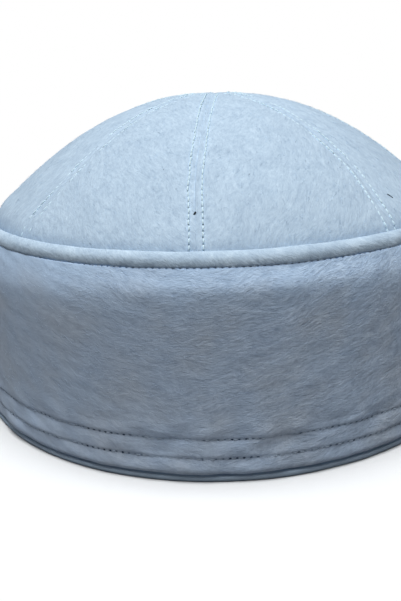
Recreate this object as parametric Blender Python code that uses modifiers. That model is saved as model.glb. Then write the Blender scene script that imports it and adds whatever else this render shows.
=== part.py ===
"""Felt prayer cap: a crown of eight gores, a corded piping, a side band and an inner band.

Metres, +Z up. The origin is the middle of the rim, on the surface that it rests on. The middle of
the face, where a crown seam meets the piping, is at -Y. The plan is an oval, longer front to back:
half widths are measured along X, and the depth follows by LENGTH_OVER_WIDTH.
"""

import math
from typing import NamedTuple

import bmesh
import bpy
from mathutils import Vector

MM = 0.001

# Overall
COLLECTION_NAME = "felt_prayer_cap"
LENGTH_OVER_WIDTH = 1.06
FELT = 2.2 * MM
SEAM_GAP = 0.3 * MM
RING_STEPS = 64

# Crown: a dome of equal gores, height = foot + rise * (1 - (half width / foot half width) ^ power)
GORES = 8
CROWN_FOOT_HEIGHT = 66.4 * MM
CROWN_FOOT_HALF_WIDTH = 84.5 * MM
CROWN_RISE = 41.0 * MM
CROWN_POWER = 2.15
CROWN_TIP = 1.0 * MM
CROWN_VISIBLE_EDGE = 82.7 * MM
DOME_STEPS = 10

# Each gore stands a little above the dome between its seams and is pinched below it along them
GORE_PUFF = 0.9 * MM
PINCHED_SHARE = 0.4
PUFF_SQUARENESS = 0.6
PUFF_RUN_OUT_STEPS = 3.0

# Piping: a felt welt in the corner between crown and side band
PIPING_RADIUS = 2.2 * MM
PIPING_HALF_WIDTH = 86.0 * MM
PIPING_HEIGHT = 66.0 * MM


class Place(NamedTuple):
    """A point of an outline: what it is, its half width along X and its height, in mm."""

    name: str
    half_width: float
    height: float


class SeamDrift(NamedTuple):
    """How far a hand-cut seam runs from its even angle, in degrees, at the piping and higher up."""

    seam: int
    at_piping: float
    higher_up: float


# The crown's edge, turned down behind the piping
CROWN_TURNED_EDGE = (
    Place("bend behind the piping", 83.5, 66.25),
    Place("behind the piping", 83.5, 63.9),
    Place("cut edge", 83.5, 61.3),
)

# The side band's outer face, from the edge turned in under the piping down to the hem's fold
BAND_SHOULDER_AND_WALL = (
    Place("cut edge", 83.9, 63.4),
    Place("under the piping", 85.2, 63.4),
    Place("ditch beside the piping", 86.6, 63.2),
    Place("shoulder", 88.1, 62.5),
    Place("shoulder", 89.3, 61.1),
    Place("shoulder", 90.2, 58.6),
    Place("wall", 90.9, 54.2),
    Place("wall", 91.5, 45.2),
    Place("wall", 91.9, 32.0),
    Place("wall above the inner band", 92.0, 21.0),
)
BAND_HEM = (
    Place("above the stitches", 92.0, 16.2),
    Place("upper stitch row", 91.5, 14.3),
    Place("upper strip", 92.1, 12.9),
    Place("upper strip", 92.1, 9.4),
    Place("lower stitch row", 91.5, 8.0),
    Place("lower strip", 92.1, 6.7),
    Place("lower strip", 92.1, 4.2),
    Place("fold", 91.9, 3.3),
    Place("fold", 91.4, 2.8),
)

# Its inner face at the hem, where the felt is pressed thinner over the inner band
BAND_HEM_INSIDE = (
    Place("fold", 90.4, 2.8),
    Place("over the inner band", 90.4, 18.9),
)

# The inner band: a straight strip whose lower edge spreads into a lip under the side band's fold
INNER_BAND = (
    Place("top edge", 89.6, 18.6),
    Place("outer face", 90.1, 18.1),
    Place("outer face", 90.1, 2.5),
    Place("lip", 90.9, 2.4),
    Place("lip", 91.5, 1.9),
    Place("lip", 91.6, 1.0),
    Place("lip", 91.4, 0.3),
    Place("rim", 91.0, 0.0),
    Place("rim", 88.5, 0.0),
    Place("inner face", 88.0, 0.5),
    Place("inner face", 88.0, 18.1),
    Place("top edge", 88.5, 18.6),
)

# Seams are counted from the front, towards +X; the other seams run true
SEAM_DRIFTS = (
    SeamDrift(seam=-1, at_piping=0.3, higher_up=2.0),
    SeamDrift(seam=0, at_piping=0.0, higher_up=-1.2),
    SeamDrift(seam=1, at_piping=-0.4, higher_up=2.2),
)
DRIFT_RUN_IN = 0.25


class Finish(NamedTuple):
    """A felt's colour (linear red, green, blue) and roughness."""

    name: str
    colour: tuple[float, float, float]
    roughness: float


CROWN_FELT = Finish("felt_crown", (0.47, 0.62, 0.76), 0.95)
PIPING_FELT = Finish("felt_piping", (0.45, 0.60, 0.75), 0.93)
BAND_FELT = Finish("felt_side_band", (0.42, 0.56, 0.70), 0.95)
INNER_FELT = Finish("felt_inner_band", (0.36, 0.48, 0.61), 0.96)


def clear_scene():
    """Removes every object that the scene holds."""
    for obj in list(bpy.data.objects):
        bpy.data.objects.remove(obj, do_unlink=True)


def felt_material(finish):
    """A matt Principled felt without metal."""
    material = bpy.data.materials.new(finish.name)
    material.use_nodes = True
    shader = material.node_tree.nodes["Principled BSDF"]
    shader.inputs["Base Color"].default_value = (*finish.colour, 1.0)
    shader.inputs["Roughness"].default_value = finish.roughness
    shader.inputs["Metallic"].default_value = 0.0
    material.diffuse_color = (*finish.colour, 1.0)
    return material


def add_object(name, data, finish):
    """Puts a mesh or a curve into the cap's collection under its piece's name."""
    obj = bpy.data.objects.new(name, data)
    data.materials.append(felt_material(finish))
    bpy.data.collections[COLLECTION_NAME].objects.link(obj)
    return obj


def in_metres(places):
    """(half width, height) of each place of a table."""
    return [(place.half_width * MM, place.height * MM) for place in places]


def dome_height(half_width):
    """Height of the crown's outside over a point this far from the middle, along X."""
    share = half_width / CROWN_FOOT_HALF_WIDTH
    return CROWN_FOOT_HEIGHT + CROWN_RISE * (1.0 - share**CROWN_POWER)


def dome_outward(half_width):
    """(outwards, upwards) parts of the direction square to the dome at this half width."""
    share = half_width / CROWN_FOOT_HALF_WIDTH
    fall = CROWN_RISE * CROWN_POWER / CROWN_FOOT_HALF_WIDTH * share ** (CROWN_POWER - 1.0)
    return Vector((fall, 1.0)).normalized()


def crown_line():
    """(half width, height) down the crown's outside, from the tip to the edge behind the piping."""
    line = []
    for step in range(DOME_STEPS + 1):
        half_width = CROWN_TIP + (CROWN_VISIBLE_EDGE - CROWN_TIP) * step / DOME_STEPS
        line.append((half_width, dome_height(half_width)))
    return line + in_metres(CROWN_TURNED_EDGE)


def seam_angle(seam, half_width):
    """Angle of a seam round the cap, in radians from the front, at this distance from the middle."""
    drifts = {drift.seam: drift for drift in SEAM_DRIFTS}
    turn = seam - GORES if seam > GORES // 2 else seam
    drift = drifts.get(turn, SeamDrift(turn, 0.0, 0.0))
    run_in = min((1.0 - min(half_width / CROWN_VISIBLE_EDGE, 1.0)) / DRIFT_RUN_IN, 1.0)
    share = run_in * run_in * (3.0 - 2.0 * run_in)
    degrees = drift.at_piping + (drift.higher_up - drift.at_piping) * share
    return math.tau * seam / GORES + math.radians(degrees)


def on_oval(angle, half_width, height):
    """The point of the cap's oval at this angle from the front, towards +X."""
    depth = half_width * LENGTH_OVER_WIDTH
    return Vector((half_width * math.sin(angle), -depth * math.cos(angle), height))


def gore_point(line, gore, across, down):
    """A point of a gore's outside: across and down run from 0 to 1, from its left seam and its tip."""
    place = down * (len(line) - 1)
    half_width, height = line[round(place)]
    left = seam_angle(gore, half_width)
    right = seam_angle(gore + 1, half_width)
    margin = 0.5 * SEAM_GAP / half_width
    angle = left + margin + (right - left - 2.0 * margin) * across
    rounding = math.sin(math.pi * across) ** PUFF_SQUARENESS - PINCHED_SHARE
    run_out = min(place, DOME_STEPS - place) / PUFF_RUN_OUT_STEPS
    puff = dome_outward(half_width) * GORE_PUFF * rounding * max(min(run_out, 1.0), 0.0)
    return on_oval(angle, half_width + puff.x, height + puff.y)


def add_gore(gore):
    """One felt gore: a grid bent over the dome between two seams, given the felt's thickness."""
    line = crown_line()
    mesh = bpy.data.meshes.new(f"crown_gore_{gore + 1}")
    grid = bmesh.new()
    bmesh.ops.create_grid(
        grid, x_segments=RING_STEPS // GORES, y_segments=len(line) - 1, size=0.5
    )
    for vertex in grid.verts:
        vertex.co = gore_point(line, gore, vertex.co.x + 0.5, 0.5 - vertex.co.y)
    grid.to_mesh(mesh)
    grid.free()
    mesh.shade_smooth()
    obj = add_object(mesh.name, mesh, CROWN_FELT)
    solidify = obj.modifiers.new("felt", "SOLIDIFY")
    solidify.thickness = FELT
    solidify.offset = -1.0
    solidify.use_even_offset = True
    return obj


def add_piping():
    """The welt: a round bevel along the oval seam between crown and side band."""
    curve = bpy.data.curves.new("crown_piping", "CURVE")
    curve.dimensions = "3D"
    curve.twist_mode = "Z_UP"
    curve.bevel_depth = PIPING_RADIUS
    curve.bevel_resolution = 2
    path = curve.splines.new("POLY")
    path.points.add(RING_STEPS - 1)
    path.use_cyclic_u = True
    path.use_smooth = True
    for step, point in enumerate(path.points):
        place = on_oval(math.tau * step / RING_STEPS, PIPING_HALF_WIDTH, PIPING_HEIGHT)
        point.co = (*place, 1.0)
    return add_object(curve.name, curve, PIPING_FELT)


def add_turned_ring(name, outline, finish):
    """A closed outline of (half width, height), its outer side first, turned about Z into an oval."""
    mesh = bpy.data.meshes.new(name)
    points = [(half_width, 0.0, height) for half_width, height in outline]
    edges = [(index, (index + 1) % len(points)) for index in range(len(points))]
    mesh.from_pydata(points, edges, [])
    obj = add_object(name, mesh, finish)
    screw = obj.modifiers.new("turn", "SCREW")
    screw.axis = "Z"
    screw.angle = math.tau
    screw.steps = RING_STEPS
    screw.render_steps = RING_STEPS
    screw.use_merge_vertices = True
    screw.merge_threshold = 0.0001 * MM
    screw.use_smooth_shade = True
    obj.scale.y = LENGTH_OVER_WIDTH
    return obj


def inner_side(line):
    """The felt's inner face for an outer line of (half width, height) that runs downwards."""
    inner = []
    for index, (half_width, height) in enumerate(line):
        before = Vector(line[max(index - 1, 0)])
        after = Vector(line[min(index + 1, len(line) - 1)])
        along = (after - before).normalized()
        inner.append((half_width + FELT * along.y, height - FELT * along.x))
    return inner


def add_side_band():
    """The side wall: felt from its edge under the piping to the hem, thinner at the stitch rows."""
    wall = in_metres(BAND_SHOULDER_AND_WALL)
    inside = in_metres(BAND_HEM_INSIDE) + inner_side(wall)[::-1]
    return add_turned_ring("side_band", wall + in_metres(BAND_HEM) + inside, BAND_FELT)


def add_inner_band():
    """The hem's second layer: its lower edge is the rim that the cap rests on."""
    return add_turned_ring("inner_band", in_metres(INNER_BAND), INNER_FELT)


def main():
    """Builds the cap, each piece as an object of its own."""
    clear_scene()
    cap = bpy.data.collections.new(COLLECTION_NAME)
    bpy.context.scene.collection.children.link(cap)
    for gore in range(GORES):
        add_gore(gore)
    add_piping()
    add_side_band()
    add_inner_band()


main()
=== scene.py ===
"""Dresses the felt prayer cap: gores, piping, side band, inner band, stitches and brushed nap.

Sizes in the classes are millimetres in the cap's own frame: the origin is the middle of the rim, +Z is
up and the middle of the face is at -Y. Angles run from the front towards +X. Meshes are put in in
metres. Every surface is a function of an angle round the cap and a length along a felt's profile.
"""

import logging
import math
from dataclasses import dataclass, field
from enum import Enum
from typing import Any

import bpy
import numpy as np
from mathutils import Matrix, Vector

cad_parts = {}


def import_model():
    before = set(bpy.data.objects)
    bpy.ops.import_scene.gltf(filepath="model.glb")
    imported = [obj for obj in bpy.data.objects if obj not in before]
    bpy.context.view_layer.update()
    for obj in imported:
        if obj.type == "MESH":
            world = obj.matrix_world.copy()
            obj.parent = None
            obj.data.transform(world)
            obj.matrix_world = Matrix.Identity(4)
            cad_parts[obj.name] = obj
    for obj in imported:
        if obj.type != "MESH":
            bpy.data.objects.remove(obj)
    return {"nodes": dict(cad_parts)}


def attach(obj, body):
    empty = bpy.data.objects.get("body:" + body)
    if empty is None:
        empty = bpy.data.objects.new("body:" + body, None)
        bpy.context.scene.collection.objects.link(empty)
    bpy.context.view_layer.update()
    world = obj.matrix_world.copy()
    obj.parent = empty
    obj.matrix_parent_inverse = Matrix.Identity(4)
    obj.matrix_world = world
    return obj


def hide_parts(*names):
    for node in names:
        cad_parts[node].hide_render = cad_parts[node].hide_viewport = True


Array = np.ndarray
Frame = dict[str, Any]

MM = 0.001
ROOT = "root"
GORES = 8
STITCH = 2.1
STITCHES_ROUND = 284
STAGGER = 0.37
COUNT_AT_FRONT = 400.0
NO_ROW = 9.0

log = logging.getLogger("felt_prayer_cap")


class Face(Enum):
    """Which face of the felt a row of stitches lies on."""

    OUTSIDE = 1.0
    INSIDE = -1.0


class Weld(Enum):
    """How the edges of a grid of points meet."""

    OPEN = (False, False)
    ROUND = (True, False)
    RING = (True, True)


def smooth_step(low: float, high: float, value: Array) -> Array:
    """Rises smoothly from 0 at low to 1 at high: 3 t^2 - 2 t^3.

    Args:
        low: Where it leaves 0.
        high: Where it reaches 1.
        value: Where to read it.

    Returns:
        The risen share, of the shape of value.
    """
    share = np.clip((value - low) / (high - low), 0.0, 1.0)
    return share * share * (3.0 - 2.0 * share)


def bell(value: Array, width: float) -> Array:
    """A bell: e to the power of minus the square of value over width."""
    return np.exp(-np.square(value / width))


def unit(vectors: Array) -> Array:
    """Each vector of the last axis over its own length."""
    return vectors / np.maximum(np.linalg.norm(vectors, axis=-1, keepdims=True), 1e-12)


def round_angles(count: int) -> Array:
    """Angles of so many even columns round the cap, from the back by way of the front."""
    return -math.pi + 2.0 * math.pi * np.arange(count) / count


def plain_row(shape: tuple[int, ...]) -> Array:
    """A row map for felt without stitches: every place is far from any row."""
    return np.stack([np.zeros(shape), np.full(shape, NO_ROW)], -1)


@dataclass(frozen=True)
class Hump:
    """A rounded hump on the felt, or a hollow where its height is below nought."""

    height: float
    middle: float
    width: float

    def at(self, place: Array) -> Array:
        """Its height at some places."""
        return self.height * bell(place - self.middle, self.width)


@dataclass(frozen=True)
class Oval:
    """The cap's plan: an oval that is longer front to back than it is wide.

    Beside and behind the head the line of the piping sinks a little, and the felt on both sides of it
    sinks with it.
    """

    length_over_width: float = 1.06
    wall: float = 92.0
    sag: float = 1.5
    sag_degrees: tuple[float, float] = (66.0, 90.0)
    sag_heights: tuple[float, float] = (36.0, 63.0)
    sag_half_widths: tuple[float, float] = (79.0, 84.0)

    @property
    def mean(self) -> float:
        """Mean radius of an oval of half width 1."""
        return 0.5 * (1.0 + self.length_over_width)

    @property
    def radius(self) -> float:
        """Mean radius of the wall, which turns an angle into a length round the cap."""
        return self.wall * self.mean

    def point(self, angle: Array, half_width: Array, height: Array) -> Array:
        """Points: x = half width sin(angle), y = -ratio half width cos(angle), z = height - sunk.

        Sunk is the sag times three smooth steps: of the angle, of the height and of the half width,
        each between its own two limits.

        Args:
            angle: Angle from the front, in radians.
            half_width: Half the oval's width there.
            height: Height over the rim.

        Returns:
            Points, with x, y and z on a new last axis.
        """
        x = half_width * np.sin(angle)
        y = -self.length_over_width * half_width * np.cos(angle)
        turned = np.abs(np.mod(angle + math.pi, 2.0 * math.pi) - math.pi)
        beside = smooth_step(*map(math.radians, self.sag_degrees), turned)
        sunk = smooth_step(*self.sag_heights, height) * smooth_step(*self.sag_half_widths, half_width)
        return np.stack(np.broadcast_arrays(x, y, height - self.sag * beside * sunk), axis=-1)

    def outward(self, angle: Array, out: Array, up: Array) -> Array:
        """Directions with a part square to the oval and a part upwards.

        Args:
            angle: Angle from the front, in radians.
            out: Part outwards, square to the oval.
            up: Part upwards.

        Returns:
            Unit directions, on a new last axis.
        """
        across = self.length_over_width * np.sin(angle)
        ahead = -np.cos(angle)
        size = np.hypot(across, ahead)
        return unit(np.stack(np.broadcast_arrays(out * across / size, out * ahead / size, up), -1))


@dataclass
class Profile:
    """A felt's outer line from its top edge down: straight runs between places, rounded off.

    The runs are read at an even spacing, and each point becomes the mean of those within the
    rounding length, twice over. The line's ends stay where they are.
    """

    places: tuple[tuple[float, float], ...]
    rounding: float
    closed: bool = False
    spacing: float = 0.05
    line: Array = field(init=False)
    along: Array = field(init=False)
    outward: Array = field(init=False)

    def __post_init__(self) -> None:
        """Works out the rounded line, the length along it and the direction square to it."""
        places = np.array(self.places + (self.places[:1] if self.closed else ()), float)
        runs = np.concatenate([[0.0], np.cumsum(np.linalg.norm(np.diff(places, axis=0), axis=1))])
        steps = np.linspace(0.0, runs[-1], int(runs[-1] / self.spacing) + 1)
        line = np.stack([np.interp(steps, runs, places[:, axis]) for axis in (0, 1)], axis=1)
        reach = max(int(self.rounding / self.spacing), 1)
        kernel = np.convolve(np.ones(2 * reach + 1), np.ones(2 * reach + 1))
        kernel /= kernel.sum()
        if self.closed:
            padded = np.pad(line[:-1], ((2 * reach, 2 * reach + 1), (0, 0)), mode="wrap")
        else:
            padded = np.pad(line, ((2 * reach, 2 * reach), (0, 0)), "reflect", reflect_type="odd")
        self.line = np.stack([np.convolve(padded[:, k], kernel, "valid") for k in (0, 1)], axis=1)
        self.along = np.concatenate(
            [[0.0], np.cumsum(np.linalg.norm(np.diff(self.line, axis=0), axis=1))]
        )
        run = np.gradient(self.line, axis=0)
        self.outward = unit(np.stack([-run[:, 1], run[:, 0]], axis=1))

    @property
    def length(self) -> float:
        """Length of the line."""
        return float(self.along[-1])

    def at(self, along: Array) -> tuple[Array, Array, Array, Array]:
        """The line at a length along it.

        Args:
            along: Lengths from the top edge.

        Returns:
            Half width, height, and the outward and upward parts of the outward direction.
        """
        read = [np.interp(along, self.along, values) for values in (*self.line.T, *self.outward.T)]
        return read[0], read[1], read[2], read[3]

    def where(self, height: float) -> float:
        """Length along the line at which it first reaches down to a height."""
        return float(self.along[np.argmax(self.line[:, 1] <= height)])

    def graded(self, count: int, spots: dict[float, float], more: float) -> Array:
        """Lengths along the line that lie closer together near some spots.

        Each length's density is 1 plus more times a bell round each spot.

        Args:
            count: Number of steps.
            spots: Width of the bell for each spot.
            more: Added density at a spot.

        Returns:
            count + 1 lengths from one end to the other.
        """
        density = np.ones_like(self.along)
        for spot, width in spots.items():
            density = np.maximum(density, 1.0 + more * bell(self.along - spot, width))
        total = np.concatenate([[0.0], np.cumsum(0.5 * (density[1:] + density[:-1]))])
        return np.interp(np.linspace(0.0, total[-1], count + 1), total, self.along)


@dataclass
class Unevenness:
    """Soft random relief whose usual rise and fall is its height, and which repeats after its span.

    White noise from a seed, made smooth by a Gaussian filter whose size along and across differ.
    """

    seed: int
    along: float
    across: float
    height: float
    span: tuple[float, float] = (596.0, 128.0)
    step: float = 0.25
    field: Array = field(init=False)

    def __post_init__(self) -> None:
        """Filters the noise by its spectrum and scales it to a spread of one."""
        shape = (int(self.span[1] / self.step), int(self.span[0] / self.step))
        noise = np.random.default_rng(self.seed).standard_normal(shape)
        across = np.fft.fftfreq(shape[0], self.step)[:, None] * self.across
        along = np.fft.rfftfreq(shape[1], self.step)[None, :] * self.along
        spectrum = np.fft.rfft2(noise) * np.exp(-2.0 * np.square(math.pi) * (across**2 + along**2))
        spectrum[0, 0] = 0.0
        smooth = np.fft.irfft2(spectrum, shape)
        self.field = smooth / smooth.std()

    def at(self, along: Array, across: Array) -> Array:
        """The relief at some places, read between the four nearest points of its grid.

        Args:
            along: Place along the grain.
            across: Place across the grain.

        Returns:
            The relief, in mm.
        """
        rows, columns = self.field.shape
        x = np.mod(np.broadcast_arrays(along, across)[0] / self.step, columns)
        y = np.mod(np.broadcast_arrays(along, across)[1] / self.step, rows)
        left, low = np.floor(x).astype(int) % columns, np.floor(y).astype(int) % rows
        right, high = (left + 1) % columns, (low + 1) % rows
        x_share, y_share = x - np.floor(x), y - np.floor(y)
        lower = self.field[low, left] * (1.0 - x_share) + self.field[low, right] * x_share
        upper = self.field[high, left] * (1.0 - x_share) + self.field[high, right] * x_share
        return self.height * (lower * (1.0 - y_share) + upper * y_share)


@dataclass
class Body:
    """A piece's mesh while it is made: points, faces and the maps on their corners."""

    name: str
    points: list[Array] = field(default_factory=list)
    quads: list[Array] = field(default_factory=list)
    triangles: list[Array] = field(default_factory=list)
    quad_maps: dict[str, list[Array]] = field(default_factory=dict)
    triangle_maps: dict[str, list[Array]] = field(default_factory=dict)
    point_maps: dict[str, list[Array]] = field(default_factory=dict)
    count: int = 0

    def add_grid(
        self,
        points: Array,
        maps: dict[str, Array],
        weld: Weld = Weld.OPEN,
        outward: bool = True,
    ) -> Array:
        """Adds a grid whose rows run down and whose columns run towards +X at the front.

        A map of a welded grid has one column, or row, more than its points.

        Args:
            points: Points of the grid: rows, columns, 3.
            maps: Places on each map: rows, columns, 2.
            weld: How the grid's edges meet.
            outward: Whether the faces point outwards of the cap, or inwards.

        Returns:
            The number of each point: rows, columns.
        """
        rows, columns = points.shape[:2]
        number = self.count + np.arange(rows * columns).reshape(rows, columns)
        round_columns, round_rows = weld.value
        wide = np.pad(number, ((0, int(round_rows)), (0, int(round_columns))), mode="wrap")
        self.quads.append(self.corners(wide, outward).reshape(-1, 4))
        for name, places in maps.items():
            corners = self.corners(places, outward).reshape(-1, 4, 2)
            self.quad_maps.setdefault(name, []).append(corners)
            flat = places[:rows, :columns].reshape(-1, 2)
            self.point_maps.setdefault(name, []).append(flat)
        self.points.append(points.reshape(-1, 3))
        self.count += rows * columns
        return number

    @staticmethod
    def corners(grid: Array, outward: bool) -> Array:
        """The four corners of every cell of a grid, on a new axis after rows and columns.

        Args:
            grid: Rows, columns, and any further axes.
            outward: Whether the corners turn as seen from outside, or the other way.

        Returns:
            Cells with their corners on the third axis.
        """
        corners = [grid[:-1, :-1], grid[1:, :-1], grid[1:, 1:], grid[:-1, 1:]]
        return np.stack(corners if outward else corners[::-1], axis=2)

    def add_edge(self, fine: Array, coarse: Array) -> None:
        """Closes the gap between two loops of points, the first with a whole multiple of the second.

        Each point of the coarse loop has a fan to its share of the fine loop, and one more triangle
        joins each two fans.

        Args:
            fine: Numbers of the fine loop's points.
            coarse: Numbers of the coarse loop's points, the first beside the fine loop's first.
        """
        times = len(fine) // len(coarse)
        start = np.arange(len(coarse))[:, None] * times - times // 2 + np.arange(times)[None, :]
        hub = np.repeat(coarse, times)
        fans = np.stack(
            [hub, np.take(fine, start + 1, mode="wrap").ravel(),
             np.take(fine, start, mode="wrap").ravel()], axis=1)
        ends = np.take(fine, start[:, -1] + 1, mode="wrap")
        joins = np.stack([coarse, np.roll(coarse, -1), ends], axis=1)
        self.add_triangles(np.concatenate([fans, joins]))

    def add_triangles(self, triangles: Array) -> None:
        """Adds triangles between points already there, with their maps read from the points.

        Args:
            triangles: Numbers of the corners: triangles, 3.
        """
        self.triangles.append(triangles)
        for name, places in self.point_maps.items():
            flat = np.concatenate(places)
            self.triangle_maps.setdefault(name, []).append(flat[triangles])

    def add_strands(self, paths: Array, raised: Array, radius: Array, sides: int) -> None:
        """Adds a closed round strand along each path.

        A ring of points stands square to the path at each of its points, at radius times the cosine
        of an angle to the side plus the sine upwards. Flat caps close the ends.

        Args:
            paths: Points of the paths: strands, steps, 3.
            raised: Direction away from the felt, of the same shape.
            radius: Radius: strands, steps.
            sides: Number of sides.
        """
        strands, steps = radius.shape
        run = unit(np.gradient(paths, axis=1))
        side = unit(np.cross(raised, run))
        up = np.cross(run, side)
        angle = 2.0 * math.pi * np.arange(sides) / sides
        ring = np.cos(angle)[:, None] * side[:, :, None] + np.sin(angle)[:, None] * up[:, :, None]
        points = paths[:, :, None] + radius[:, :, None, None] * ring
        number = self.count + np.arange(points[..., 0].size).reshape(strands, steps, sides)
        wide = np.concatenate([number, number[:, :, :1]], axis=2)
        quads = [wide[:, :-1, :-1], wide[:, :-1, 1:], wide[:, 1:, 1:], wide[:, 1:, :-1]]
        self.quads.append(np.stack(quads, axis=-1).reshape(-1, 4))
        length = np.concatenate(
            [np.zeros((strands, 1)), np.cumsum(np.linalg.norm(np.diff(paths, axis=1), axis=2), 1)], 1
        )
        turn = np.broadcast_to(np.arange(sides + 1) / sides, (strands, steps, sides + 1))
        place = np.stack([turn, np.broadcast_to(length[:, :, None], turn.shape)], axis=-1)
        cells = [place[:, :-1, :-1], place[:, :-1, 1:], place[:, 1:, 1:], place[:, 1:, :-1]]
        self.quad_maps.setdefault("strand", []).append(np.stack(cells, axis=3).reshape(-1, 4, 2))
        self.point_maps.setdefault("strand", []).append(place[:, :, :-1].reshape(-1, 2))
        self.points.append(points.reshape(-1, 3))
        self.count += points[..., 0].size
        third = np.arange(2, sides)
        for end, order in ((number[:, 0], (0, 2, 1)), (number[:, -1], (0, 1, 2))):
            fan = [np.repeat(end[:, :1], sides - 2, 1), end[:, third - 1], end[:, third]]
            self.add_triangles(np.stack([fan[k] for k in order], axis=-1).reshape(-1, 3))

    def finish(self, material: bpy.types.Material, tint: Array | None = None) -> bpy.types.Object:
        """Makes the object, in metres, at the origin, on the cap's only body.

        Args:
            material: What the piece is made of.
            tint: A number for each point, kept as the attribute "tint".

        Returns:
            The finished object.
        """
        mesh = bpy.data.meshes.new(self.name)
        points = np.concatenate(self.points)
        quads = np.concatenate(self.quads)
        threes = np.concatenate(self.triangles) if self.triangles else np.zeros((0, 3), int)
        mesh.vertices.add(len(points))
        mesh.vertices.foreach_set("co", (points * MM).astype(np.float32).ravel())
        mesh.loops.add(quads.size + threes.size)
        corners = np.concatenate([quads.ravel(), threes.ravel()]).astype(np.int32)
        mesh.loops.foreach_set("vertex_index", corners)
        mesh.polygons.add(len(quads) + len(threes))
        starts = [4 * np.arange(len(quads)), quads.size + 3 * np.arange(len(threes))]
        mesh.polygons.foreach_set("loop_start", np.concatenate(starts).astype(np.int32))
        mesh.update(calc_edges=True)
        for name, places in self.quad_maps.items():
            parts = [np.concatenate(places).reshape(-1, 2)]
            if len(threes):
                parts.append(np.concatenate(self.triangle_maps[name]).reshape(-1, 2))
            layer = mesh.uv_layers.new(name=name)
            layer.data.foreach_set("uv", np.concatenate(parts).astype(np.float32).ravel())
        if tint is not None:
            attribute = mesh.attributes.new("tint", "FLOAT", "POINT")
            attribute.data.foreach_set("value", tint.astype(np.float32))
        mesh.shade_smooth()
        mesh.materials.append(material)
        piece = bpy.data.objects.new(self.name, mesh)
        bpy.context.scene.collection.objects.link(piece)
        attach(piece, ROOT)
        log.info("%s: %d triangles", self.name, 2 * len(quads) + len(threes))
        return piece


@dataclass
class Graph:
    """A node tree being wired up."""

    tree: bpy.types.NodeTree

    def add(self, kind: str, feeds: dict[Any, Any] | None = None, **settings: Any) -> bpy.types.Node:
        """Adds a node.

        Args:
            kind: Blender's name for the kind of node, without ShaderNode.
            feeds: A value, or the socket to link, for each input by name or number.
            settings: Properties of the node.

        Returns:
            The node.
        """
        node = self.tree.nodes.new(kind if kind.startswith("Node") else f"ShaderNode{kind}")
        for name, value in settings.items():
            setattr(node, name, value)
        for key, value in (feeds or {}).items():
            self.feed(node.inputs[key], value)
        return node

    def feed(self, socket: bpy.types.NodeSocket, value: Any) -> None:
        """Links a socket to another, or gives it a constant.

        Args:
            socket: The input.
            value: An output socket, or a number, colour or vector.
        """
        if isinstance(value, bpy.types.NodeSocket):
            self.tree.links.new(value, socket)
        else:
            socket.default_value = value

    def maths(self, operation: str, *values: Any, clamp: bool = False) -> bpy.types.NodeSocket:
        """A sum, product or other operation on one to three numbers.

        Args:
            operation: Blender's name for it.
            values: Sockets or numbers.
            clamp: Whether the result is kept from 0 to 1.

        Returns:
            The result's socket.
        """
        feeds = dict(enumerate(values))
        return self.add("Math", feeds, operation=operation, use_clamp=clamp).outputs[0]

    def noise(self, place: Any, scale: float, detail: float, rough: float = 0.5) -> Any:
        """A cloudy noise from 0 to 1 at places already scaled.

        Args:
            place: Socket of the place.
            scale: Features per unit.
            detail: Number of finer layers.
            rough: Strength of the finer layers.

        Returns:
            The noise's socket.
        """
        feeds = {"Vector": place, "Scale": scale, "Detail": detail, "Roughness": rough}
        return self.add("TexNoise", feeds).outputs[0]


def start_material(name: str) -> tuple[bpy.types.Material, Graph]:
    """Starts a material.

    Args:
        name: The material's name.

    Returns:
        The material, and its node tree to wire up.
    """
    material = bpy.data.materials.new(name)
    material.use_nodes = True
    return material, Graph(material.node_tree)


@dataclass
class ShadeGroup:
    """A shader node group with named inputs and outputs, made once and placed many times."""

    name: str
    inputs: dict[str, float | tuple[float, ...]]
    outputs: tuple[str, ...]
    group: bpy.types.NodeTree = field(init=False)
    graph: Graph = field(init=False)
    given: bpy.types.Node = field(init=False)
    result: bpy.types.Node = field(init=False)

    def __post_init__(self) -> None:
        """Makes the group, its sockets and its two end nodes, then wires it up."""
        self.group = bpy.data.node_groups.new(self.name, "ShaderNodeTree")
        sockets = self.group.interface
        for name, value in self.inputs.items():
            kind = "NodeSocketVector" if isinstance(value, tuple) else "NodeSocketFloat"
            sockets.new_socket(name, in_out="INPUT", socket_type=kind).default_value = value
        for name in self.outputs:
            sockets.new_socket(name, in_out="OUTPUT", socket_type="NodeSocketFloat")
        self.graph = Graph(self.group)
        self.given = self.graph.add("NodeGroupInput")
        self.result = self.graph.add("NodeGroupOutput")
        self.wire()

    def wire(self) -> None:
        """Wires the group up; each kind of group has its own."""

    def place(self, graph: Graph, feeds: dict[str, Any]) -> bpy.types.Node:
        """Places the group in a material.

        Args:
            graph: The material's tree.
            feeds: Values or sockets for its inputs.

        Returns:
            The group's node.
        """
        node = graph.add("Group")
        node.node_tree = self.group
        for name, value in feeds.items():
            graph.feed(node.inputs[name], value)
        return node


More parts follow.
